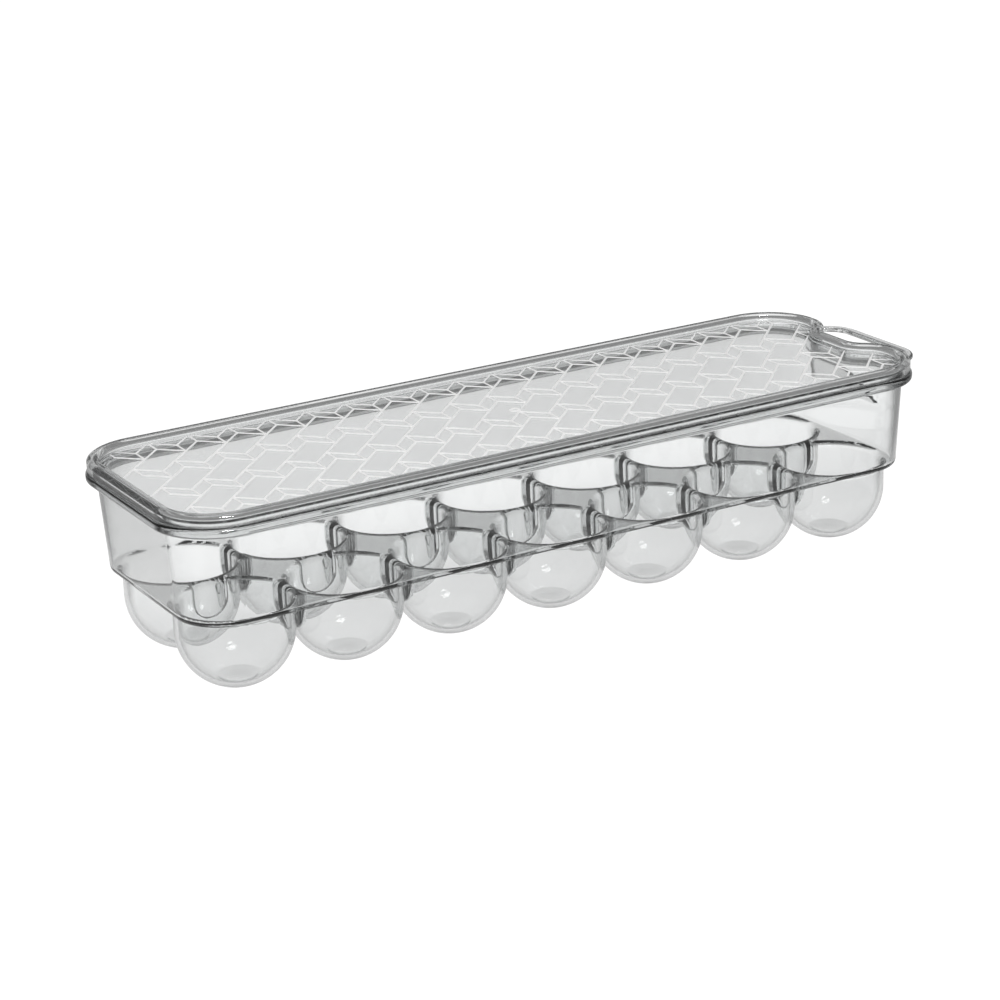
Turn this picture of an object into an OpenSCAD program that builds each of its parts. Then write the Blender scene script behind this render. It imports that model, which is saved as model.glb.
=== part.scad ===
// Two-row egg tray with a lift-off lid, moulded in clear plastic.
// The origin is on the resting plane, under the middle of the whole length.
// +X points to the handle and +Z is up.

/* [Egg cups] */
// Number of cups in each row
cups_long = 7; // [3:1:8]
// Number of rows of cups
cup_rows = 2; // [2:1:3]
// Distance between cup centres along a row
cup_pitch = 49; // [49:0.5:54]
// Distance between the rows
row_pitch = 50; // [49:0.5:54]
// Inner radius of a cup
cup_r = 22.6; // [20:0.1:22.6]
// Height of the tray floor above the resting plane
floor_h = 36; // [33:0.5:42]
// Height of the flat bottom inside a cup
cup_floor_h = 3; // [2:0.5:4]
// Radius of the rounded edge at a cup's mouth
mouth_r = 2.2; // [1:0.1:2.2]
// Half width of the solid web between cups of one row
web_r = 10; // [7:0.5:11]
// Depth of that web below the floor
web_depth = 18; // [13:0.5:20]
// Half width of the solid web between the two rows
cross_web_r = 8; // [6:0.5:10]
// Depth of that web below the floor
cross_web_depth = 16; // [12:0.5:18]

/* [Tray walls] */
// Wall thickness of both mouldings
wall = 1.8; // [1.4:0.1:2]
// Height of the tray wall above its floor
wall_h = 41.2; // [34:0.1:50]
// Corner radius of the tray at its floor
corner_r = 20.5; // [18:0.5:22]
// Flat floor between the cups' mouths and the end walls
end_margin = 2.5; // [2:0.1:6]
// Flat floor between the cups' mouths and the side walls
side_margin = 1.6; // [1.5:0.1:6]
// Distance that the wall leans outward over its height
draft = 2.6; // [1:0.1:3]
// Height of the rounded bead around the tray's rim
bead_h = 4; // [3:0.1:5]
// Distance that the bead stands out of the wall
bead_w = 4.2; // [3:0.1:5]

/* [Handle] */
// Distance that the handle strap reaches past the rim
strap_reach = 13.3; // [11:0.1:16]
// Half width of the handle strap across the tray
strap_half_w = 34; // [30:0.5:36]
// Corner radius of the handle strap
strap_r = 15; // [13:0.5:20]
// Width of the strap's section
strap_w = 4.2; // [3:0.1:5]
// Height of the strap's section
strap_h = 2.2; // [1.8:0.1:4]
// Depth of the finger recess in the end wall
recess_depth = 10.3; // [6:0.1:11]
// Half width of the flat back of the recess
recess_flat = 8; // [4:0.5:10]
// Slant of the recess's sides
recess_angle = 50; // [45:1:60]
// Height of the recess's lower edge above the tray floor
scoop_h = 18; // [14:0.5:22]
// Height that the recess's bottom climbs from its lower edge to its back
scoop_rise = 16; // [12:0.5:18]

/* [Lid] */
// Distance that the lid's edge sits inside the tray's bead
lid_inset = 0.8; // [0:0.1:1.5]
// Height of the lid's raised rim above the tray's bead
lid_rim_h = 5.5; // [4.5:0.1:7]
// Width of the lid's raised rim
lid_rim_w = 5.4; // [4.5:0.1:6.5]
// Depth of the lid's panel below the top of its rim
panel_drop = 3; // [2:0.1:3.4]
// Depth that the lid's skirt reaches into the tray
skirt_depth = 5; // [3:0.1:8]
// Gap between the skirt and the tray wall
skirt_gap = 0.5; // [0.3:0.1:1]
// Gap between the lid's rim and the tray's bead
seat_gap = 0.1; // [0.05:0.05:0.2]

/* [Hidden] */
$fn = 96;
arc_steps = 10;
cut = 0.5; // overshoot of a cutting tool past the face it opens

cup_out_r = cup_r + wall;
foot_dip = 0.8; // how far the cup's sphere would reach below its flat foot
cup_mid_h = cup_out_r - foot_dip; // height of the cup sphere's centre
half_l = (cups_long - 1) / 2 * cup_pitch + cup_r + mouth_r + end_margin;
half_w = (cup_rows - 1) / 2 * row_pitch + cup_r + mouth_r + side_margin;

// Corner axes: every outline is this rectangle grown by an offset.
axis_x = half_l - corner_r;
axis_y = half_w - corner_r;
rim_top = floor_h + wall_h;
rim_offset = corner_r + draft;
bead_offset = rim_offset + bead_w;

// Finger recess: rounded shoulders join the end wall to a flat-backed hollow.
shoulder_offset = 9; // offset at which the shoulders' radius is zero
hollow_offset = 36.1; // offset at which the hollow's corner radius is zero
shoulder_x = axis_x + shoulder_offset;
hollow_x = axis_x - recess_depth + hollow_offset;
recess_r_sum = hollow_offset - shoulder_offset;
recess_run = recess_r_sum - (hollow_x - shoulder_x) * cos(recess_angle);
shoulder_y = recess_flat + recess_run / sin(recess_angle);

scoop_slope = scoop_rise / recess_depth;
scoop_drop = wall * (sqrt(1 + scoop_slope ^ 2) - scoop_slope); // keeps the sloped wall's thickness

strap_x = axis_x + bead_offset + strap_reach;
grid_x = -strap_reach / 2; // centre of the cup grid, the tray's walls and the lid

lid_offset = bead_offset - lid_inset;
channel_outer = lid_offset - wall; // the hollow in the lid's rim
channel_inner = lid_offset - lid_rim_w + wall;
lid_bottom = rim_top + seat_gap;
lid_top = rim_top + lid_rim_h;
lid_rim_depth = lid_top - lid_bottom;
panel_top = lid_top - panel_drop;
skirt_offset = rim_offset - wall - skirt_gap;
skirt_bottom = rim_top - skirt_depth;

// Points along an arc about [x, y]
function arc(x, y, r, from, to) =
    [for (i = [0:arc_steps]) let (a = from + (to - from) * i / arc_steps) [x + r * cos(a), y + r * sin(a)]];

// Outline of the walls, rim or lid at an offset from the corner axes, with the finger recess
function outline(o) = concat(
    arc(-axis_x, -axis_y, o, 180, 270),
    arc(axis_x, -axis_y, o, 270, 360),
    arc(shoulder_x, -shoulder_y, o - shoulder_offset, 0, recess_angle),
    arc(hollow_x, -recess_flat, hollow_offset - o, 180 + recess_angle, 180),
    arc(hollow_x, recess_flat, hollow_offset - o, 180, 180 - recess_angle),
    arc(shoulder_x, shoulder_y, o - shoulder_offset, -recess_angle, 0),
    arc(axis_x, axis_y, o, 0, 90),
    arc(-axis_x, axis_y, o, 90, 180)
);

// Solid between two heights with the outline at one offset
module slab(o, z, h) {
    translate([0, 0, z]) linear_extrude(h) polygon(outline(o));
}

// Ring between two offsets of the outline
module ring(o_out, o_in, z, h) {
    translate([0, 0, z]) linear_extrude(h) difference() {
        polygon(outline(o_out));
        polygon(outline(o_in));
    }
}

// Rounded block whose walls lean outward, without the finger recess
module leaning_block(o_low, o_high, z, h) {
    for (sx = [-1, 1], sy = [-1, 1])
        translate([sx * axis_x, sy * axis_y, z]) cylinder(r1 = o_low, r2 = o_high, h = h);
    translate([-axis_x, 0, z]) rotate([90, 0, 90])
        linear_extrude(2 * axis_x) slope(axis_y + o_low, axis_y + o_high, h);
    translate([0, axis_y, z]) rotate([90, 0, 0])
        linear_extrude(2 * axis_y) slope(axis_x + o_low, axis_x + o_high, h);
}

// Upright section of a block that widens from low to high
module slope(low, high, h) {
    polygon([[-low, 0], [low, 0], [high, h], [-high, h]]);
}

// Places its children at every cup centre, or midway to the next cup along or across
module at_cups(along = 0, across = 0) {
    for (i = [0:cups_long - 1 - along], j = [0:cup_rows - 1 - across])
        translate([
            (i - (cups_long - 1) / 2 + along / 2) * cup_pitch,
            (j - (cup_rows - 1) / 2 + across / 2) * row_pitch,
            0
        ]) children();
}

// Half section of a cup: a ball with straight walls above it, cut flat at the bottom
module cup_section(r, flat_h, top_h) {
    intersection() {
        union() {
            translate([0, cup_mid_h]) circle(r);
            translate([0, cup_mid_h]) square([r, top_h - cup_mid_h]);
        }
        translate([0, flat_h]) square([r, top_h - flat_h]);
    }
}

module cup_outside() {
    rotate_extrude() cup_section(cup_out_r, 0, floor_h - wall / 2);
}

// Hollow of a cup, flared by the rounded edge of its mouth
module cup_hollow() {
    rotate_extrude() {
        cup_section(cup_r, cup_floor_h, floor_h + cut);
        difference() {
            translate([0, floor_h - mouth_r]) square([cup_r + mouth_r, mouth_r]);
            translate([cup_r + mouth_r, floor_h - mouth_r]) circle(mouth_r);
        }
    }
}

// Solid web with a round bottom, hanging from the floor
module web(r, depth, length) {
    rotate([90, 0, 90]) translate([0, 0, -length / 2]) linear_extrude(length) union() {
        translate([0, floor_h - depth + r]) circle(r);
        translate([-r, floor_h - depth + r]) square([2 * r, depth - r - wall / 2]);
    }
}

// The webs that join every cup to its neighbours
module webs() {
    at_cups(along = 1) web(web_r, web_depth, cup_pitch - cup_r);
    at_cups(across = 1) rotate([0, 0, 90]) web(cross_web_r, cross_web_depth, row_pitch - cup_r);
}

// The end wall's hollow under the strap: outside the outline, inside the end, above the scoop
module recess_space(o, z, h) {
    reach = bead_offset + strap_reach;
    difference() {
        translate([0, 0, z]) linear_extrude(h) difference() {
            translate([axis_x, -shoulder_y]) square([reach, 2 * shoulder_y]);
            polygon(outline(o));
        }
        translate([axis_x + o, shoulder_y + cut, z]) rotate([90, 0, 0])
            linear_extrude(2 * (shoulder_y + cut)) scoop_section();
    }
}

// Upright section below the scoop's sloped bottom
module scoop_section() {
    run = recess_depth + cut;
    polygon([[0, -cut], [0, 0], [-run, run * scoop_slope], [-run, -cut]]);
}

module handle_strap() {
    translate([0, 0, rim_top - strap_h]) linear_extrude(strap_h) difference() {
        strap_plan(0);
        strap_plan(strap_w);
        translate([0, -half_w]) square([axis_x + rim_offset, 2 * half_w]);
    }
}

// Plan of the strap's outer edge, moved inward by an inset
module strap_plan(inset) {
    r = strap_r - inset;
    for (s = [-1, 1]) translate([strap_x - strap_r, s * (strap_half_w - strap_r)]) circle(r);
    translate([axis_x, inset - strap_half_w])
        square([strap_x - strap_r - axis_x, 2 * (strap_half_w - inset)]);
    translate([axis_x, strap_r - strap_half_w])
        square([strap_x - inset - axis_x, 2 * (strap_half_w - strap_r)]);
}

// Shell of the walls and floor, with the recess folded into the handle end
module walls() {
    low = floor_h - wall;
    inner_top = rim_top + cut;
    difference() {
        leaning_block(corner_r, rim_offset, low, rim_top - low);
        difference() {
            leaning_block(corner_r - wall, rim_offset - wall, floor_h, inner_top - floor_h);
            recess_space(rim_offset - wall, floor_h + scoop_h - scoop_drop, inner_top);
        }
        recess_space(rim_offset, floor_h + scoop_h, inner_top);
    }
}

module tray() {
    color([0.86, 0.88, 0.9, 0.45]) translate([grid_x, 0, 0]) difference() {
        union() {
            walls();
            ring(bead_offset, rim_offset - wall, rim_top - bead_h, bead_h);
            handle_strap();
            at_cups() cup_outside();
            webs();
        }
        at_cups() cup_hollow();
    }
}

// The lid's rim is a channel open below, and the skirt hangs under the panel's edge.
module lid() {
    color([0.8, 0.82, 0.84, 0.55]) translate([grid_x, 0, 0]) {
        difference() {
            ring(lid_offset, lid_offset - lid_rim_w, lid_bottom, lid_rim_depth);
            ring(channel_outer, channel_inner, lid_bottom - cut, lid_rim_depth - wall + cut);
        }
        slab(lid_offset - lid_rim_w + cut, panel_top - wall, wall);
        ring(skirt_offset, skirt_offset - wall, skirt_bottom, panel_top - cut - skirt_bottom);
    }
}

tray();
lid();
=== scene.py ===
"""Clear two-row egg tray with a lift-off lid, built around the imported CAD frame.

Lengths in this file are millimetres in the cup grid's own frame: x runs along the rows from the
middle cup, y across them, z up from the resting plane. MM turns them into the frame's metres.
"""

import math

import bmesh
import bpy
import numpy as np
from mathutils import Matrix, Vector, geometry


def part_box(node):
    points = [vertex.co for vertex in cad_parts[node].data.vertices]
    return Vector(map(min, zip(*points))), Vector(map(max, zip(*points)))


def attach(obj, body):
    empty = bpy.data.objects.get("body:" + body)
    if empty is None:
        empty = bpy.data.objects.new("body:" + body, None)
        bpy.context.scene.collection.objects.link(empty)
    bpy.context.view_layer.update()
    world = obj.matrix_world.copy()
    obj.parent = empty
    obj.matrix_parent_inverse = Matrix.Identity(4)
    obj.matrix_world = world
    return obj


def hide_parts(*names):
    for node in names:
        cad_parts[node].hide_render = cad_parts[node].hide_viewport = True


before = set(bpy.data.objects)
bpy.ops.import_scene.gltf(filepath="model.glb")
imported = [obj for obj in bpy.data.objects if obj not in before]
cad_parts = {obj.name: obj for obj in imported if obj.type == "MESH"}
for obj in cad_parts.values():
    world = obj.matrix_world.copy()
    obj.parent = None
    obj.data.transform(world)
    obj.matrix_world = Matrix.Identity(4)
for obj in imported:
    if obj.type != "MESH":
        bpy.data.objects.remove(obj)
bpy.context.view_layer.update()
scene = bpy.context.scene
MM = 0.001

# ---------------------------------------------------------------- dimensions, as in the CAD
CUPS_LONG = 7
CUP_PITCH = 49.0
ROW_PITCH = 50.0
CUP_R = 22.6
FLOOR_H = 36.0
CUP_FLOOR_H = 3.0
MOUTH_R = 2.2
WEB_R, WEB_DEPTH = 10.0, 18.0
CROSS_WEB_R, CROSS_WEB_DEPTH = 8.0, 16.0
WALL = 1.8
WALL_H = 41.2
CORNER_R = 20.5
DRAFT = 2.6
BEAD_H, BEAD_W = 4.0, 4.2
END_MARGIN, SIDE_MARGIN = 2.5, 1.6
STRAP_REACH, STRAP_HALF_W, STRAP_R = 13.3, 34.0, 15.0
STRAP_W, STRAP_H = 4.2, 2.2
RECESS_DEPTH, RECESS_FLAT, RECESS_ANGLE = 10.3, 8.0, math.radians(50)
SCOOP_H, SCOOP_RISE = 18.0, 16.0
LID_INSET, LID_RIM_H, LID_RIM_W, PANEL_DROP = 0.8, 5.5, 5.4, 3.0
SKIRT_DEPTH, SKIRT_GAP, SEAT_GAP = 5.0, 0.5, 0.1

CUP_OUT_R = CUP_R + WALL
FOOT_DIP = 0.8
CUP_MID_H = CUP_OUT_R - FOOT_DIP
AXIS_X = (CUPS_LONG - 1) / 2 * CUP_PITCH + CUP_R + MOUTH_R + END_MARGIN - CORNER_R
AXIS_Y = ROW_PITCH / 2 + CUP_R + MOUTH_R + SIDE_MARGIN - CORNER_R
RIM_TOP = FLOOR_H + WALL_H
RIM_OFFSET = CORNER_R + DRAFT
BEAD_OFFSET = RIM_OFFSET + BEAD_W
SHOULDER_OFFSET, HOLLOW_OFFSET = 9.0, 36.1
SHOULDER_X = AXIS_X + SHOULDER_OFFSET
HOLLOW_X = AXIS_X - RECESS_DEPTH + HOLLOW_OFFSET
RECESS_RUN = HOLLOW_OFFSET - SHOULDER_OFFSET - (HOLLOW_X - SHOULDER_X) * math.cos(RECESS_ANGLE)
SHOULDER_Y = RECESS_FLAT + RECESS_RUN / math.sin(RECESS_ANGLE)
SCOOP_SLOPE = SCOOP_RISE / RECESS_DEPTH
SCOOP_LEVEL = 1 / math.hypot(1, SCOOP_SLOPE)
SCOOP_DROP = WALL * (1 / SCOOP_LEVEL - SCOOP_SLOPE)
STRAP_X = AXIS_X + BEAD_OFFSET + STRAP_REACH
LID_OFFSET = BEAD_OFFSET - LID_INSET
LID_BOTTOM = RIM_TOP + SEAT_GAP
LID_TOP = RIM_TOP + LID_RIM_H
PANEL_TOP = LID_TOP - PANEL_DROP
SKIRT_OFFSET = RIM_OFFSET - WALL - SKIRT_GAP

# the cup grid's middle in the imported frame, from the tray's own box
TRAY_LOW, TRAY_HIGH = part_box("tray")
GRID_X = TRAY_LOW.x / MM + AXIS_X + BEAD_OFFSET


# ---------------------------------------------------------------- plan offsets
def block_offset(x, y):
    """Distance in plan from the rounded block's corner axes, without the finger recess."""
    qx, qy = np.abs(x) - AXIS_X, np.abs(y) - AXIS_Y
    return np.hypot(np.maximum(qx, 0), np.maximum(qy, 0)) + np.minimum(np.maximum(qx, qy), 0)


def plan_offset(x, y):
    """The same, following the finger recess at the handle end."""
    ay = np.abs(y)
    c, s = math.cos(RECESS_ANGLE), math.sin(RECESS_ANGLE)
    along = x * s + ay * c
    along_hollow = HOLLOW_X * s + RECESS_FLAT * c
    along_shoulder = SHOULDER_X * s + SHOULDER_Y * c
    flat = x - HOLLOW_X + HOLLOW_OFFSET
    hollow = HOLLOW_OFFSET - np.hypot(x - HOLLOW_X, ay - RECESS_FLAT)
    slant = SHOULDER_OFFSET + (x - SHOULDER_X) * c - (ay - SHOULDER_Y) * s
    shoulder = SHOULDER_OFFSET + np.hypot(x - SHOULDER_X, ay - SHOULDER_Y)
    end = np.where(along < along_shoulder, slant, shoulder)
    end = np.where(along < along_hollow, hollow, end)
    end = np.where(ay <= RECESS_FLAT, flat, end)
    at_end = (x > AXIS_X - CORNER_R) & (ay < SHOULDER_Y)
    return np.where(at_end, end, block_offset(x, y))


# ---------------------------------------------------------------- edge radii
EDGE_R = 0.5  # outer edges of webs, recess and lid
FLOOR_CORNER_R = 2.0  # outer edge between the floor and the walls
BEAD_R = 1.5
STRAP_EDGE_R = 0.9
INNER_CORNER_R = 0.6
CUP_FLOOR_R = 0.3
UNDER_FLOOR_R = 1.0  # fillet between the cups and the floor's underside
OUTER_JOINT_R, INNER_JOINT_R = 0.4, 0.1  # where neighbouring cups meet
BEAD_FILLET_R = 0.8
STRAP_FILLET_R = 1.5


# ---------------------------------------------------------------- rounded solids as distance fields
def join(a, b, r):
    """Union of two distance fields, with a fillet of radius r."""
    return np.maximum(r, np.minimum(a, b)) - np.hypot(np.maximum(r - a, 0), np.maximum(r - b, 0))


def common(a, b, r):
    """Intersection of two distance fields, with an edge radius r."""
    return np.minimum(-r, np.maximum(a, b)) + np.hypot(np.maximum(r + a, 0), np.maximum(r + b, 0))


def bar(u, v, half_u, half_v, r):
    """Rounded rectangle in the u, v plane."""
    qu, qv = np.abs(u) - half_u + r, np.abs(v) - half_v + r
    return np.hypot(np.maximum(qu, 0), np.maximum(qv, 0)) + np.minimum(np.maximum(qu, qv), 0) - r


def cup_centres():
    for i in range(CUPS_LONG):
        for side in (-1, 1):
            yield (i - (CUPS_LONG - 1) / 2) * CUP_PITCH, side * ROW_PITCH / 2


def cups(x, y, z, grow, floor_z, floor_r, joint_r):
    """All cups as balls with straight walls above them, cut flat at floor_z.

    floor_r rounds the flat bottom's edge and joint_r the line where neighbours meet."""
    drop = np.minimum(z - CUP_MID_H, 0)
    field = None
    for cx, cy in cup_centres():
        cup = np.sqrt((x - cx) ** 2 + (y - cy) ** 2 + drop**2) - CUP_R - grow
        field = cup if field is None else join(field, cup, joint_r)
    return common(field, floor_z - z, floor_r)


def web(across, along, z, r, depth, half_length):
    """Solid web with a round bottom, hanging from the floor."""
    mid = FLOOR_H - depth + r
    return np.maximum(np.hypot(across, np.minimum(z - mid, 0)) - r, np.abs(along) - half_length)


def webs(x, y, z):
    """The webs that join every cup to its neighbours, in both directions."""
    half_x = (CUP_PITCH - CUP_R) / 2
    half_y = (ROW_PITCH - CUP_R) / 2
    gap = np.clip(np.floor(x / CUP_PITCH), -(CUPS_LONG - 1) / 2, (CUPS_LONG - 3) / 2) + 0.5
    along = web(np.abs(y) - ROW_PITCH / 2, x - gap * CUP_PITCH, z, WEB_R, WEB_DEPTH, half_x)
    column = np.clip(np.round(x / CUP_PITCH), -(CUPS_LONG - 1) / 2, (CUPS_LONG - 1) / 2)
    cross = web(x - column * CUP_PITCH, y, z, CROSS_WEB_R, CROSS_WEB_DEPTH, half_y)
    return np.maximum(np.minimum(along, cross), z - FLOOR_H + WALL / 2)


def tray_field(x, y, z):
    """Signed distance to the tray's surface, negative in the plastic."""
    low = FLOOR_H - WALL
    lean = DRAFT / (RIM_TOP - low)
    level = math.cos(math.atan(lean))
    wall_face = (block_offset(x, y) - CORNER_R - lean * (z - low)) * level
    offset = plan_offset(x, y)
    at_recess = (x > AXIS_X) & (np.abs(y) < SHOULDER_Y)
    scoop_out = FLOOR_H + SCOOP_H + SCOOP_SLOPE * (AXIS_X + RIM_OFFSET - x)
    scoop_in = scoop_out - SCOOP_DROP - SCOOP_SLOPE * WALL

    below = join(cups(x, y, z, WALL, 0.0, EDGE_R, OUTER_JOINT_R), webs(x, y, z), EDGE_R)
    outside = join(common(wall_face, low - z, FLOOR_CORNER_R), below, UNDER_FLOOR_R)
    pocket = np.where(at_recess, np.maximum(RIM_OFFSET - offset, (scoop_out - z) * SCOOP_LEVEL), CORNER_R)
    outside = common(outside, -pocket, EDGE_R)

    hollow = common(wall_face + WALL, FLOOR_H - z, INNER_CORNER_R)
    hollow = join(hollow, cups(x, y, z, 0.0, CUP_FLOOR_H, CUP_FLOOR_R, INNER_JOINT_R), MOUTH_R)
    boss = np.maximum(RIM_OFFSET - WALL - offset, (scoop_in - z) * SCOOP_LEVEL)
    boss = np.where(at_recess, boss, CORNER_R)
    hollow = common(hollow, -boss, EDGE_R)

    # the shell ends inside the bead, 1 mm under the rim's top
    shell = np.maximum(np.maximum(outside, -hollow), z - RIM_TOP + 1)
    bead_mid = (BEAD_OFFSET + RIM_OFFSET - WALL) / 2
    bead = bar(offset - bead_mid, z - RIM_TOP + BEAD_H / 2, BEAD_OFFSET - bead_mid, BEAD_H / 2, BEAD_R)
    rim = join(shell, bead, BEAD_FILLET_R)

    qx, qy = x - STRAP_X + STRAP_R, np.abs(y) - STRAP_HALF_W + STRAP_R
    edge = np.hypot(np.maximum(qx, 0), np.maximum(qy, 0)) + np.minimum(np.maximum(qx, qy), 0) - STRAP_R
    strap = bar(edge + STRAP_W / 2, z - RIM_TOP + STRAP_H / 2, STRAP_W / 2, STRAP_H / 2, STRAP_EDGE_R)
    strap = np.maximum(strap, AXIS_X + RIM_OFFSET - x)
    return join(rim, strap, STRAP_FILLET_R)


# ---------------------------------------------------------------- mesh from a distance field
SLAB_LAYERS = 32  # grid layers worked out at a time
GRID_MARGIN = 3.0
FLAT_COSINE = math.cos(math.radians(0.02))


def field_gradient(field, points, step=0.02):
    """Unit outward normals of the field at the points."""
    grad = np.empty_like(points)
    for axis in range(3):
        move = np.zeros(3)
        move[axis] = step
        grad[:, axis] = field(*(points + move).T) - field(*(points - move).T)
    return grad / np.maximum(np.linalg.norm(grad, axis=1, keepdims=True), 1e-12)


def settle(field, points, limit, rounds=3):
    """Moves points onto the field's surface, by at most limit in each round."""
    for _ in range(rounds):
        gap = np.clip(field(*points.T), -limit, limit)
        points = points - field_gradient(field, points) * gap[:, None]
    return points


def surface_net(field, low, high, step):
    """Closed quad mesh of the field's zero surface: one vertex in each grid cell that it crosses."""
    axes = [np.arange(a, b + step, step) for a, b in zip(low, high)]
    nx, ny, nz = (len(a) for a in axes)
    values = np.empty((nx, ny, nz), np.float32)
    y, z = np.meshgrid(axes[1], axes[2], indexing="ij")
    for first in range(0, nx, SLAB_LAYERS):
        xs = axes[0][first:first + SLAB_LAYERS]
        shape = (len(xs), ny, nz)
        x = np.broadcast_to(xs[:, None, None], shape)
        values[first:first + SLAB_LAYERS] = field(x, np.broadcast_to(y, shape), np.broadcast_to(z, shape))
    inside = values < 0
    corner = np.array([(i, j, k) for i in (0, 1) for j in (0, 1) for k in (0, 1)])
    count = np.zeros((nx - 1, ny - 1, nz - 1), np.int8)
    for i, j, k in corner:
        count += inside[i:nx - 1 + i, j:ny - 1 + j, k:nz - 1 + k]
    cells = np.argwhere((count > 0) & (count < 8))
    number = np.full((nx - 1, ny - 1, nz - 1), -1, np.int64)
    number[tuple(cells.T)] = np.arange(len(cells))
    at = {tuple(c): values[tuple((cells + c).T)] for c in corner}
    total = np.zeros((len(cells), 3))
    hits = np.zeros(len(cells))
    for a in at:
        for axis in range(3):
            if a[axis]:
                continue
            b = tuple(v + (n == axis) for n, v in enumerate(a))
            crossed = (at[a] < 0) != (at[b] < 0)
            share = at[a] / np.where(crossed, at[a] - at[b], 1)
            spot = np.tile(np.array(a, float), (len(cells), 1))
            spot[:, axis] += share
            total += spot * crossed[:, None]
            hits += crossed
    points = (cells + total / hits[:, None]) * step + np.array(low)
    quads = []
    for axis in range(3):
        u, v = (axis + 1) % 3, (axis + 2) % 3
        first = [slice(1, -1)] * 3
        second = [slice(1, -1)] * 3
        first[axis], second[axis] = slice(0, -1), slice(1, None)
        here, there = inside[tuple(first)], inside[tuple(second)]
        for starts in (True, False):
            edge = np.argwhere((here != there) & (here == starts))
            edge += np.array([0 if n == axis else 1 for n in range(3)])
            ring = []
            for du, dv in ((1, 1), (0, 1), (0, 0), (1, 0)):
                cell = edge.copy()
                cell[:, u] -= du
                cell[:, v] -= dv
                ring.append(number[tuple(cell.T)])
            quad = np.stack(ring, 1)
            quads.append(quad if starts else quad[:, ::-1])
    return points, np.concatenate(quads)


def mesh_object(name, points, faces):
    """Object from points in the grid's millimetres."""
    mesh = bpy.data.meshes.new(name)
    moved = (np.asarray(points) + (GRID_X, 0, 0)) * MM
    mesh.from_pydata(moved.tolist(), [], [list(f) for f in faces])
    mesh.update()
    piece = bpy.data.objects.new(name, mesh)
    scene.collection.objects.link(piece)
    return piece


def merge_flats(piece, field, reach=1.2):
    """Joins the small faces of truly flat areas, where the field's normal is the same all around."""
    mesh = piece.data
    points = np.empty(len(mesh.vertices) * 3)
    mesh.vertices.foreach_get("co", points)
    points = points.reshape(-1, 3) / MM - (GRID_X, 0, 0)
    normals = field_gradient(field, points)
    flat = np.ones(len(points), bool)
    for axis in range(3):
        for side in (-reach, reach):
            move = np.zeros(3)
            move[axis] = side
            near = settle(field, points + move - normals * (normals @ move)[:, None], 1.0, 1)
            flat &= (field_gradient(field, near) * normals).sum(1) > FLAT_COSINE
    work = bmesh.new()
    work.from_mesh(mesh)
    work.verts.ensure_lookup_table()
    verts = [work.verts[k] for k in np.flatnonzero(flat)]
    edges = [e for e in work.edges if flat[e.verts[0].index] and flat[e.verts[1].index]]
    bmesh.ops.dissolve_limit(work, angle_limit=math.radians(0.3), verts=verts, edges=edges)
    work.to_mesh(mesh)
    work.free()


def smooth_by_field(piece, field):
    """Custom normals from the field; a merged flat face takes one normal for all its corners."""
    mesh = piece.data
    points = np.empty(len(mesh.vertices) * 3)
    mesh.vertices.foreach_get("co", points)
    points = points.reshape(-1, 3) / MM - (GRID_X, 0, 0)
    corner_vertex = np.empty(len(mesh.loops), np.int64)
    mesh.loops.foreach_get("vertex_index", corner_vertex)
    corner_normals = field_gradient(field, points)[corner_vertex]
    for face in mesh.polygons:
        if face.loop_total > 4:
            corners = slice(face.loop_start, face.loop_start + face.loop_total)
            corner_normals[corners] = tuple(face.normal)
    mesh.polygons.foreach_set("use_smooth", np.ones(len(mesh.polygons), bool))
    mesh.normals_split_custom_set(corner_normals.tolist())


def build_tray():
    reach = BEAD_OFFSET + GRID_MARGIN
    low = (-AXIS_X - reach, -AXIS_Y - reach, -GRID_MARGIN)
    high = (STRAP_X + GRID_MARGIN, AXIS_Y + reach, RIM_TOP + GRID_MARGIN)
    step = 1.0
    points, quads = surface_net(tray_field, low, high, step)
    points = settle(tray_field, points, 0.4 * step)
    piece = mesh_object("egg_tray", points, quads)
    merge_flats(piece, tray_field)
    smooth_by_field(piece, tray_field)
    return piece


# ---------------------------------------------------------------- lid
def outline_stations():
    """The lid's outline as arcs: centre, radius less the offset, its sign and the arc's direction."""
    bend = math.degrees(RECESS_ANGLE)
    corner, curve = 20, 14
    plan = [
        (-AXIS_X, -AXIS_Y, 0, 1, 180, 270, corner),
        (AXIS_X, -AXIS_Y, 0, 1, 270, 360, corner),
        (SHOULDER_X, -SHOULDER_Y, -SHOULDER_OFFSET, 1, 0, bend, curve),
        (HOLLOW_X, -RECESS_FLAT, HOLLOW_OFFSET, -1, 180 + bend, 180, curve),
        (HOLLOW_X, RECESS_FLAT, HOLLOW_OFFSET, -1, 180, 180 - bend, curve),
        (SHOULDER_X, SHOULDER_Y, -SHOULDER_OFFSET, 1, -bend, 0, curve),
        (AXIS_X, AXIS_Y, 0, 1, 0, 90, corner),
        (-AXIS_X, AXIS_Y, 0, 1, 90, 180, corner),
    ]
    rows = []
    for x, y, radius, sign, start, end, steps in plan:
        for n in range(steps + 1):
            turn = math.radians(start + (end - start) * n / steps)
            rows.append((x, y, radius, sign, math.cos(turn), math.sin(turn)))
    return np.array(rows)


STATIONS = outline_stations()
PLAN_NORMALS = STATIONS[:, 4:6] * STATIONS[:, 3:4]


def outline(offset):
    """Plan points of the outline at an offset from the corner axes."""
    radius = STATIONS[:, 2] + offset * STATIONS[:, 3]
    return STATIONS[:, 0:2] + STATIONS[:, 4:6] * radius[:, None]


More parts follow.
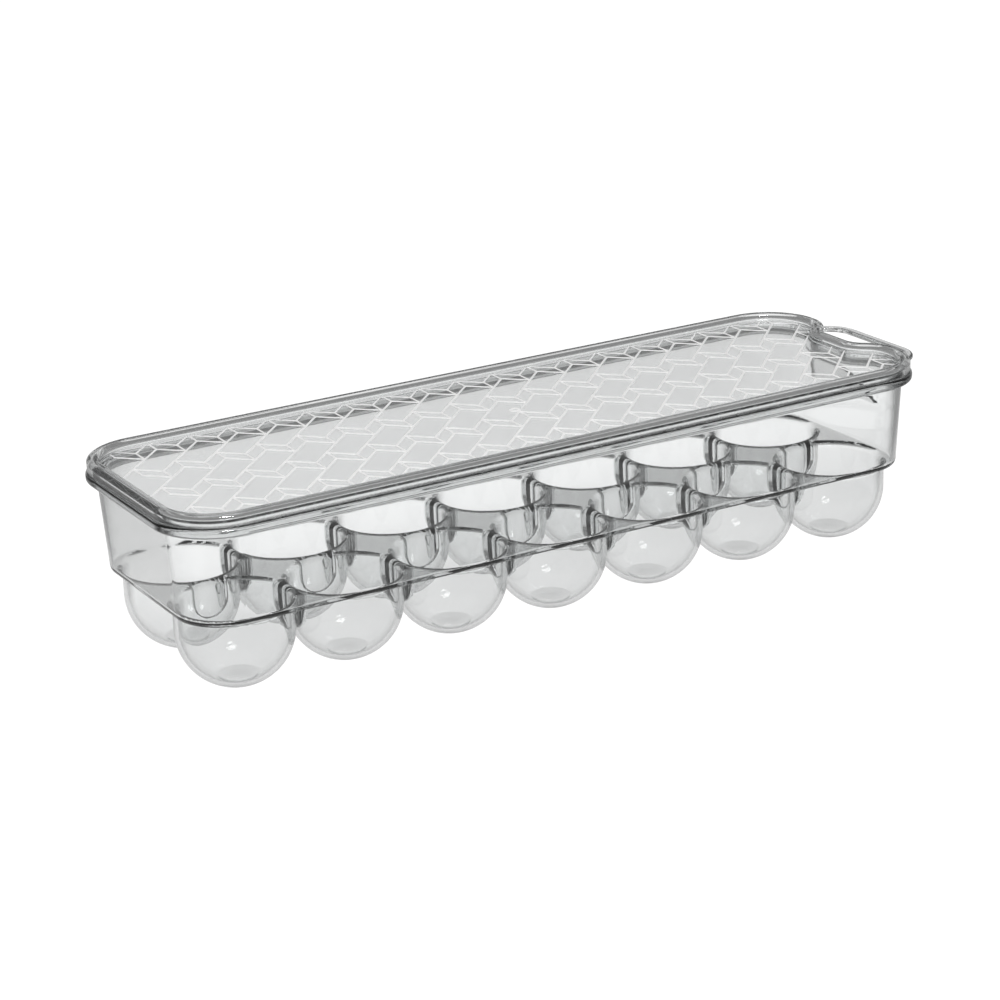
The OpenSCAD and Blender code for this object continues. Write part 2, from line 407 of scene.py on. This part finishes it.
def rounded_path(corners, steps=5):
    """Points and normals along a path of (offset, height, edge radius), the plastic on its right."""
    rows = []
    for n, (u, v, r) in enumerate(corners):
        here = np.array([u, v])
        before = here - np.array(corners[n - 1][:2]) if n else None
        after = np.array(corners[n + 1][:2]) - here if n + 1 < len(corners) else None
        if before is None or after is None:
            way = after if before is None else before
            way = way / np.linalg.norm(way)
            rows.append((*here, -way[1], way[0]))
            continue
        before, after = before / np.linalg.norm(before), after / np.linalg.norm(after)
        turn = math.atan2(before[0] * after[1] - before[1] * after[0], before @ after)
        reach = r * math.tan(abs(turn) / 2)
        side = np.array([-before[1], before[0]]) * math.copysign(1, turn)
        centre = here - before * reach + side * r
        for k in range(steps + 1):
            angle = turn * k / steps
            c, s = math.cos(angle), math.sin(angle)
            out = np.array([-side[0] * c + side[1] * s, -side[0] * s - side[1] * c])
            normal = out if turn < 0 else -out
            rows.append((*(centre + out * r), *normal))
    return rows


RIB_PITCH = 9.17
RIB_ROW_Y = -40.0
RIB_BASE, RIB_TOP, RIB_H = 1.1, 0.6, 0.2
GATE_R_IN, GATE_R_OUT, GATE_STEPS = 1.5, 2.4, 32
RIB_SLOPE = (RIB_BASE - RIB_TOP) / 2
PANEL_EDGE = LID_OFFSET - LID_RIM_W - 0.8
RIB_LIMIT = PANEL_EDGE - 1.2
RIB_RUNOUT = 0.6  # distance over which a rib sinks into the panel past its limit


def rib_lines():
    """Segments of the panel's lattice with their share of the rib's width: long diagonals, uprights
    and short falling diagonals. The shares differ a little so that no edges meet in one point."""
    columns = int(AXIS_X / RIB_PITCH) + 4
    node = lambda i, j: np.array([i * RIB_PITCH, RIB_ROW_Y + j * RIB_PITCH])
    for i in range(-columns, columns, 2):
        for j in range(-6, 15, 3):
            yield node(i + 1, j), node(i + 4, j + 3), 1.0
            yield node(i, j), node(i, j + 1), 0.97
            yield node(i + 1, j - 1), node(i + 1, j), 0.985
            yield node(i, j + 1), node(i + 1, j), 1.015
            yield node(i, j), node(i + 1, j - 1), 1.03


def clipped(start, end):
    """The stretch of a segment that lies on the panel, just past the ribs' limit."""
    share = np.linspace(0, 1, 241)
    spots = start + (end - start) * share[:, None]
    kept = np.flatnonzero(plan_offset(spots[:, 0], spots[:, 1]) < RIB_LIMIT + RIB_RUNOUT)
    if len(kept) < 2:
        return None
    return spots[kept[0]], spots[kept[-1]]


def strip(start, end, width):
    """Corners of a straight strip with square ends."""
    way = (end - start) / np.linalg.norm(end - start)
    side = np.array([-way[1], way[0]]) * width / 2
    tip = way * width / 2
    return [start - tip - side, end + tip - side, end + tip + side, start - tip + side]


def panel_top_mesh():
    """Points and faces of the panel's upper face with its raised lattice and the ring of its gate."""
    edge = outline(PANEL_EDGE)
    points = [Vector(p) for p in edge]
    faces = [list(range(len(edge)))]
    tops = []
    for start, end, share in rib_lines():
        kept = clipped(start, end)
        if kept is None or np.linalg.norm(kept[1] - kept[0]) < RIB_BASE:
            continue
        for width in (RIB_BASE, RIB_TOP):
            faces.append(list(range(len(points), len(points) + 4)))
            points += [Vector(p) for p in strip(*kept, width * share)]
        tops.append((*kept, RIB_TOP * share / 2 + 1e-3))
    for radius in (GATE_R_IN - RIB_SLOPE, GATE_R_IN, GATE_R_OUT, GATE_R_OUT + RIB_SLOPE):
        faces.append(list(range(len(points), len(points) + GATE_STEPS)))
        turns = np.arange(GATE_STEPS) * math.tau / GATE_STEPS
        points += [Vector((radius * math.cos(a), radius * math.sin(a))) for a in turns]
    spots, _, cells, _, _, sources = geometry.delaunay_2d_cdt(points, [], faces, 0, 1e-4)
    flat = np.array([tuple(p) for p in spots])
    raised = np.zeros(len(flat), bool)
    for start, end, reach in tops:
        length = np.linalg.norm(end - start)
        way = (end - start) / length
        gap = flat - start
        along, across = gap @ way, gap @ np.array([-way[1], way[0]])
        raised |= (np.abs(across) < reach) & (along > -reach) & (along < length + reach)
    raised &= plan_offset(flat[:, 0], flat[:, 1]) < RIB_LIMIT
    from_gate = np.hypot(flat[:, 0], flat[:, 1])
    raised |= (from_gate > GATE_R_IN - 1e-3) & (from_gate < GATE_R_OUT + 1e-3)
    height = PANEL_TOP + RIB_H * raised
    inside = [list(c) for c, s in zip(cells, sources) if 0 in s]
    return np.column_stack([flat, height]), inside


def build_lid():
    top, low = LID_TOP, LID_BOTTOM
    inner = LID_OFFSET - LID_RIM_W
    channel_out, channel_in, channel_top = LID_OFFSET - WALL, inner + WALL, top - WALL
    skirt_in, skirt_low, panel_low = SKIRT_OFFSET - WALL, RIM_TOP - SKIRT_DEPTH, PANEL_TOP - WALL
    path = rounded_path([
        (PANEL_EDGE, PANEL_TOP, 0),
        (inner, PANEL_TOP, 0.7),
        (inner, top, 1.7),
        (LID_OFFSET, top, 1.9),
        (LID_OFFSET, low, EDGE_R),
        (channel_out, low, EDGE_R),
        (channel_out, channel_top, 0.8),
        (channel_in, channel_top, 0.8),
        (channel_in, low, EDGE_R),
        (SKIRT_OFFSET, low, 0.1),
        (SKIRT_OFFSET, skirt_low, 0.7),
        (skirt_in, skirt_low, 0.7),
        (skirt_in, panel_low, 0.4),
        (skirt_in - 1, panel_low, 0),
    ])
    points, faces, normals = [], [], []
    count = len(STATIONS)
    for offset, height, _, _ in path:
        points += [(x, y, height) for x, y in outline(offset)]
    for row in range(len(path) - 1):
        for n in range(count):
            m = (n + 1) % count
            corners = [(row, n), (row + 1, n), (row + 1, m), (row, m)]
            faces.append([r * count + k for r, k in corners])
            normals += [(*(PLAN_NORMALS[k] * path[r][2]), path[r][3]) for r, k in corners]
    last = (len(path) - 1) * count
    faces.append(list(range(last + count - 1, last - 1, -1)))
    normals += [(0, 0, -1)] * count

    panel_points, panel_faces = panel_top_mesh()
    ring = outline(PANEL_EDGE)
    number = []
    for x, y, z in panel_points:
        gap = np.hypot(ring[:, 0] - x, ring[:, 1] - y)
        if gap.min() < 1e-3:
            number.append(int(gap.argmin()))
        else:
            number.append(len(points))
            points.append((x, y, z))
    points = np.array(points)
    rib_faces = []
    for face in panel_faces:
        ids = [number[k] for k in face]
        a, b, c = points[ids[0]], points[ids[1]], points[ids[2]]
        normal = np.cross(b - a, c - a)
        normal /= np.linalg.norm(normal)
        if points[ids, 2].max() > PANEL_TOP + RIB_H / 2:
            rib_faces.append(len(faces))
        faces.append(ids)
        normals += [tuple(normal)] * len(ids)
    piece = mesh_object("egg_lid", points, faces)
    piece.data.polygons.foreach_set("use_smooth", np.ones(len(faces), bool))
    piece.data.normals_split_custom_set(normals)
    for face in rib_faces:
        piece.data.polygons[face].material_index = 1
    return piece


# ---------------------------------------------------------------- node helpers
def new_node(tree, kind, settings=(), **inputs):
    """New node with its settings and its inputs, each of them a value or another node's output."""
    node = tree.nodes.new("ShaderNode" + kind)
    for name, value in dict(settings).items():
        setattr(node, name, value)
    for name, value in inputs.items():
        feed(tree, node.inputs[name.replace("_", " ")], value)
    return node


def feed(tree, socket, value):
    """Sets a socket to a value, or links another node's output to it."""
    if isinstance(value, bpy.types.NodeSocket):
        tree.links.new(value, socket)
    else:
        socket.default_value = value


def calculate(tree, operation, first, second=0):
    """Output of a maths node."""
    node = tree.nodes.new("ShaderNodeMath")
    node.operation = operation
    feed(tree, node.inputs[0], first)
    feed(tree, node.inputs[1], second)
    return node.outputs["Value"]


def ramp(tree, value, start, end, low, high, kind="LINEAR"):
    """Output that goes from low to high while the value goes from start to end."""
    spans = {"From_Min": start, "From_Max": end, "To_Min": low, "To_Max": high}
    return new_node(tree, "MapRange", {"interpolation_type": kind}, Value=value, **spans).outputs["Result"]


# ---------------------------------------------------------------- materials
PLASTIC_IOR = 1.5
BODY_TINT = (0.3, 0.32, 0.32, 1)
GLOSS_SCALE, FLOW_SCALE, FLOW_DEPTH = 60, 22, 0.0004


def clear_plastic(name, tint, roughness, wave, density, clear=1.0, edge=1.0):
    """Clear moulded plastic: faint grey, with flow waves and small changes of gloss.

    The colour is painted darker by the share edge where the surface is seen edge-on: painted shade
    that draws dark outlines. density is the strength of the grey tint in its depth."""
    material = bpy.data.materials.new(name)
    material.use_nodes = True
    tree = material.node_tree
    place = tree.nodes.new("ShaderNodeTexCoord").outputs["Object"]
    gloss = new_node(tree, "TexNoise", Vector=place, Scale=GLOSS_SCALE, Detail=4)
    flow = new_node(tree, "TexNoise", Vector=place, Scale=FLOW_SCALE, Detail=1)
    bump = new_node(tree, "Bump", Strength=wave, Distance=FLOW_DEPTH, Height=flow.outputs["Fac"])
    facing = new_node(tree, "LayerWeight", Blend=0.5)
    # Painted shade: the colour turns darker towards edge-on views, drawing dark outlines.
    edge_on_shade = ramp(tree, facing.outputs["Facing"], 0.5, 1, 0, 1)
    painted_edge_shade_tint = (*(edge * share for share in tint), 1)
    colour = new_node(tree, "Mix", {"data_type": "RGBA"}, Factor=edge_on_shade, A=(*tint, 1), B=painted_edge_shade_tint)
    shader = tree.nodes["Principled BSDF"]
    feed(tree, shader.inputs["Base Color"], colour.outputs["Result"])
    feed(tree, shader.inputs["Transmission Weight"], clear)
    feed(tree, shader.inputs["IOR"], PLASTIC_IOR)
    feed(tree, shader.inputs["Roughness"], ramp(tree, gloss.outputs["Fac"], 0, 1, *roughness))
    feed(tree, shader.inputs["Normal"], bump.outputs["Normal"])
    body = new_node(tree, "VolumeAbsorption", Color=BODY_TINT, Density=density)
    feed(tree, tree.nodes["Material Output"].inputs["Volume"], body.outputs["Volume"])
    return material


# ---------------------------------------------------------------- pieces
PALE = (0.985, 0.99, 0.99)
FROSTED = (0.97, 0.97, 0.97)

tray = build_tray()
# edge=0.05 paints shade into the tray's colour where it is seen edge-on, giving dark outlines.
tray.data.materials.append(clear_plastic("tray_plastic", PALE, (0.015, 0.04), 0.04, 48, edge=0.05))
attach(tray, "tray")
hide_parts("tray")

lid = build_lid()
lid.data.materials.append(clear_plastic("lid_plastic", PALE, (0.02, 0.05), 0.04, 44))
lid.data.materials.append(clear_plastic("lid_lines", FROSTED, (0.5, 0.6), 0.0, 44, clear=0.35))
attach(lid, "lid")
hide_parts("lid")


# ---------------------------------------------------------------- stage
CAMERA_AZIMUTH = math.radians(-29.86)
CAMERA_ELEVATION = math.radians(19.43)
CAMERA_ROLL = math.radians(-2.08)
CAMERA_DISTANCE, CAMERA_LEFT, CAMERA_UP = 1.17504, 0.00787, 0.00292
FLOOR_SIZE, FLOOR_DROP = 14.0, 0.0005
BACKGROUND_GLOW = 1.04


def floor_material():
    """White glowing floor, evenly bright as seen from the camera. Seen through the plastic it is bright
    only around the tray, with painted shade nearer the camera, behind and to the left and right, and a
    painted shadow beneath the tray.
    """
    material = bpy.data.materials.new("pale_floor_painted_shade")
    material.use_nodes = True
    tree = material.node_tree
    place = tree.nodes.new("ShaderNodeTexCoord").outputs["Object"]
    spot = new_node(tree, "SeparateXYZ", Vector=place).outputs
    x, y = spot["X"], spot["Y"]
    slant = calculate(tree, "MULTIPLY", y, math.tan(-CAMERA_AZIMUTH))
    aside = calculate(tree, "ABSOLUTE", calculate(tree, "SUBTRACT", x, slant))
    # Painted shade: seen through the plastic, the floor glows less to the left and right, nearer the
    # camera and far behind the tray (back).
    painted_shade_at_sides = ramp(tree, aside, 0.22, 0.30, 1.0, 0.4, "SMOOTHSTEP")
    painted_shade_in_front = ramp(tree, y, -0.14, -0.06, 0.5, 1.0, "SMOOTHSTEP")
    back = ramp(tree, y, 0.27, 0.40, 1.0, 0.5, "SMOOTHSTEP")
    # Painted shadow: seen through the plastic, the floor glows less beneath the tray.
    painted_shadow_under_tray = ramp(tree, y, 0.02, 0.12, 0.86, 1.05, "SMOOTHSTEP")
    # The products below combine the painted shade and the painted shadow.
    across = calculate(tree, "MULTIPLY", painted_shade_at_sides, painted_shadow_under_tray)
    painted_light_patch = calculate(tree, "MULTIPLY", across, calculate(tree, "MULTIPLY", painted_shade_in_front, back))
    # Camera rays see the evenly white floor; every other ray sees the painted light, shade and shadow
    # above.
    path = tree.nodes.new("ShaderNodeLightPath").outputs["Is Camera Ray"]
    glow_with_painted_shade = new_node(tree, "Mix", Factor=path, A=painted_light_patch, B=BACKGROUND_GLOW)
    shader = tree.nodes["Principled BSDF"]
    feed(tree, shader.inputs["Base Color"], (0.05, 0.05, 0.05, 1))
    feed(tree, shader.inputs["Roughness"], 1)
    feed(tree, shader.inputs["Specular IOR Level"], 0)
    feed(tree, shader.inputs["Emission Color"], (1, 1, 1, 1))
    feed(tree, shader.inputs["Emission Strength"], glow_with_painted_shade.outputs["Result"])
    return material


def add_floor():
    half = FLOOR_SIZE / 2
    corners = [(-half, -half, 0), (half, -half, 0), (half, half, 0), (-half, half, 0)]
    mesh = bpy.data.meshes.new("floor")
    mesh.from_pydata(corners, [], [(0, 1, 2, 3)])
    mesh.materials.append(floor_material())
    floor = bpy.data.objects.new("floor", mesh)
    floor.location.z = -FLOOR_DROP
    scene.collection.objects.link(floor)


def add_world():
    """Grey surroundings with a white strip low behind the tray, as seen from the camera."""
    world = bpy.data.worlds.new("studio")
    scene.world = world
    world.use_nodes = True
    tree = world.node_tree
    way = tree.nodes.new("ShaderNodeTexCoord").outputs["Generated"]
    height = new_node(tree, "SeparateXYZ", Vector=way).outputs["Z"]
    ahead = new_node(tree, "VectorMath", {"operation": "DOT_PRODUCT"})
    feed(tree, ahead.inputs[0], way)
    feed(tree, ahead.inputs[1], (-math.sin(CAMERA_AZIMUTH), math.cos(CAMERA_AZIMUTH), 0))
    low = ramp(tree, height, 0.05, 0.25, 1, 0)
    behind = ramp(tree, ahead.outputs["Value"], 0.70, 0.88, 0, 1)
    tone = ramp(tree, calculate(tree, "MULTIPLY", low, behind), 0, 1, 0.28, 1)
    feed(tree, tree.nodes["Background"].inputs["Color"], tone)


# ---------------------------------------------------------------- light and camera
def add_key_light():
    position, target = Vector((-0.19, -0.78, 1.3)), Vector((0, 0, 0.04))
    data = bpy.data.lights.new("key", "AREA")
    data.shape = "DISK"
    data.size = 0.5
    data.energy = 26
    light = bpy.data.objects.new("key", data)
    light.location = position
    light.rotation_mode = "QUATERNION"
    light.rotation_quaternion = (target - position).to_track_quat("-Z", "Y")
    scene.collection.objects.link(light)


def add_camera():
    level_right = Vector((math.cos(CAMERA_AZIMUTH), math.sin(CAMERA_AZIMUTH), 0))
    level_back = Vector((math.sin(CAMERA_AZIMUTH), -math.cos(CAMERA_AZIMUTH), 0))
    back = level_back * math.cos(CAMERA_ELEVATION) + Vector((0, 0, math.sin(CAMERA_ELEVATION)))
    level_up = back.cross(level_right)
    right = level_right * math.cos(CAMERA_ROLL) + level_up * math.sin(CAMERA_ROLL)
    up = level_up * math.cos(CAMERA_ROLL) - level_right * math.sin(CAMERA_ROLL)
    aim = Vector((GRID_X, 0, FLOOR_H)) * MM
    data = bpy.data.cameras.new("camera")
    data.sensor_width = 36
    data.lens = 98.47
    data.clip_start, data.clip_end = 0.01, 50
    camera = bpy.data.objects.new("camera", data)
    camera.location = aim + back * CAMERA_DISTANCE - right * CAMERA_LEFT + up * CAMERA_UP
    camera.rotation_mode = "QUATERNION"
    camera.rotation_quaternion = Matrix((right, up, back)).transposed().to_quaternion()
    scene.collection.objects.link(camera)
    scene.camera = camera


add_floor()
add_world()
add_key_light()
add_camera()

cycles = scene.cycles
cycles.max_bounces = 32
cycles.transmission_bounces = 32
cycles.glossy_bounces = 12
cycles.diffuse_bounces = 2
cycles.transparent_max_bounces = 16
cycles.caustics_reflective = True
cycles.caustics_refractive = True
cycles.sample_clamp_indirect = 6
cycles.use_denoising = True
scene.view_settings.view_transform = "Standard"
